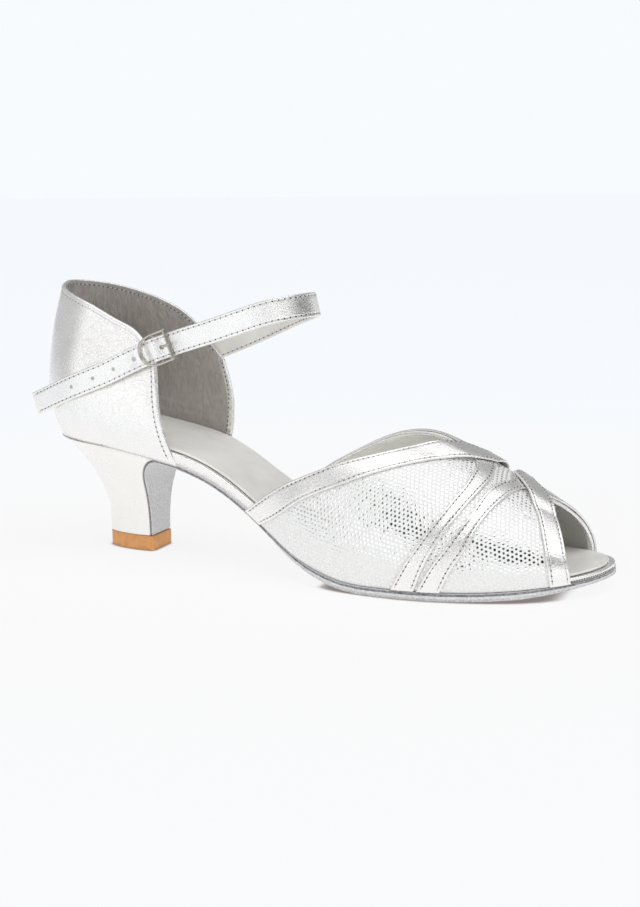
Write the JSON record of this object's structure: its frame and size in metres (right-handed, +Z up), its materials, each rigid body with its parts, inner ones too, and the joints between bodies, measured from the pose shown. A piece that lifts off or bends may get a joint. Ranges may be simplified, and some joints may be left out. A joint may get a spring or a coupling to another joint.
{
  "type": "ballroom dance shoe",
  "caption": "Right open-toe ballroom dance shoe with closed heel cup, open waist, crossed bands on a fabric vamp, flared heel and buckled ankle strap.",
  "frame": {"origin": "centre of the heel tip's face on the floor", "axes": "+X from the heel towards the toe, +Y towards the inner side of the foot, +Z up"},
  "size_m": [0.2403, 0.0807, 0.1129],
  "materials": {
    "outsole": "brushed suede with rough cut edges",
    "insole": "metallic silver leather wrap",
    "sock": "smooth pale grey lining leather",
    "heel": "metallic silver leather cover over a moulded core",
    "heel_tip": "tan, smooth",
    "quarter": "metallic silver leather outside, grey lining inside",
    "vamp": "white fabric printed with round foil dots",
    "throat_band_over": "metallic silver leather",
    "throat_band_under": "metallic silver leather",
    "toe_band_over": "metallic silver leather",
    "toe_band_under": "metallic silver leather",
    "ankle_strap": "metallic silver leather outside, grey inside",
    "buckle_frame": "polished nickel",
    "buckle_prong": "polished nickel",
    "buckle_tab": "metallic silver leather"
  },
  "bodies": {
    "root": {"outsole": "outsole", "insole": "insole", "sock": "sock", "heel": "heel", "heel_tip": "heel_tip", "quarter": "quarter", "vamp": "vamp", "throat_band_over": "throat_band_over", "throat_band_under": "throat_band_under", "toe_band_over": "toe_band_over", "toe_band_under": "toe_band_under", "ankle_strap": "ankle_strap", "buckle_frame": "buckle_frame", "buckle_prong": "buckle_prong", "buckle_tab": "buckle_tab"}
  },
  "joints": []
}
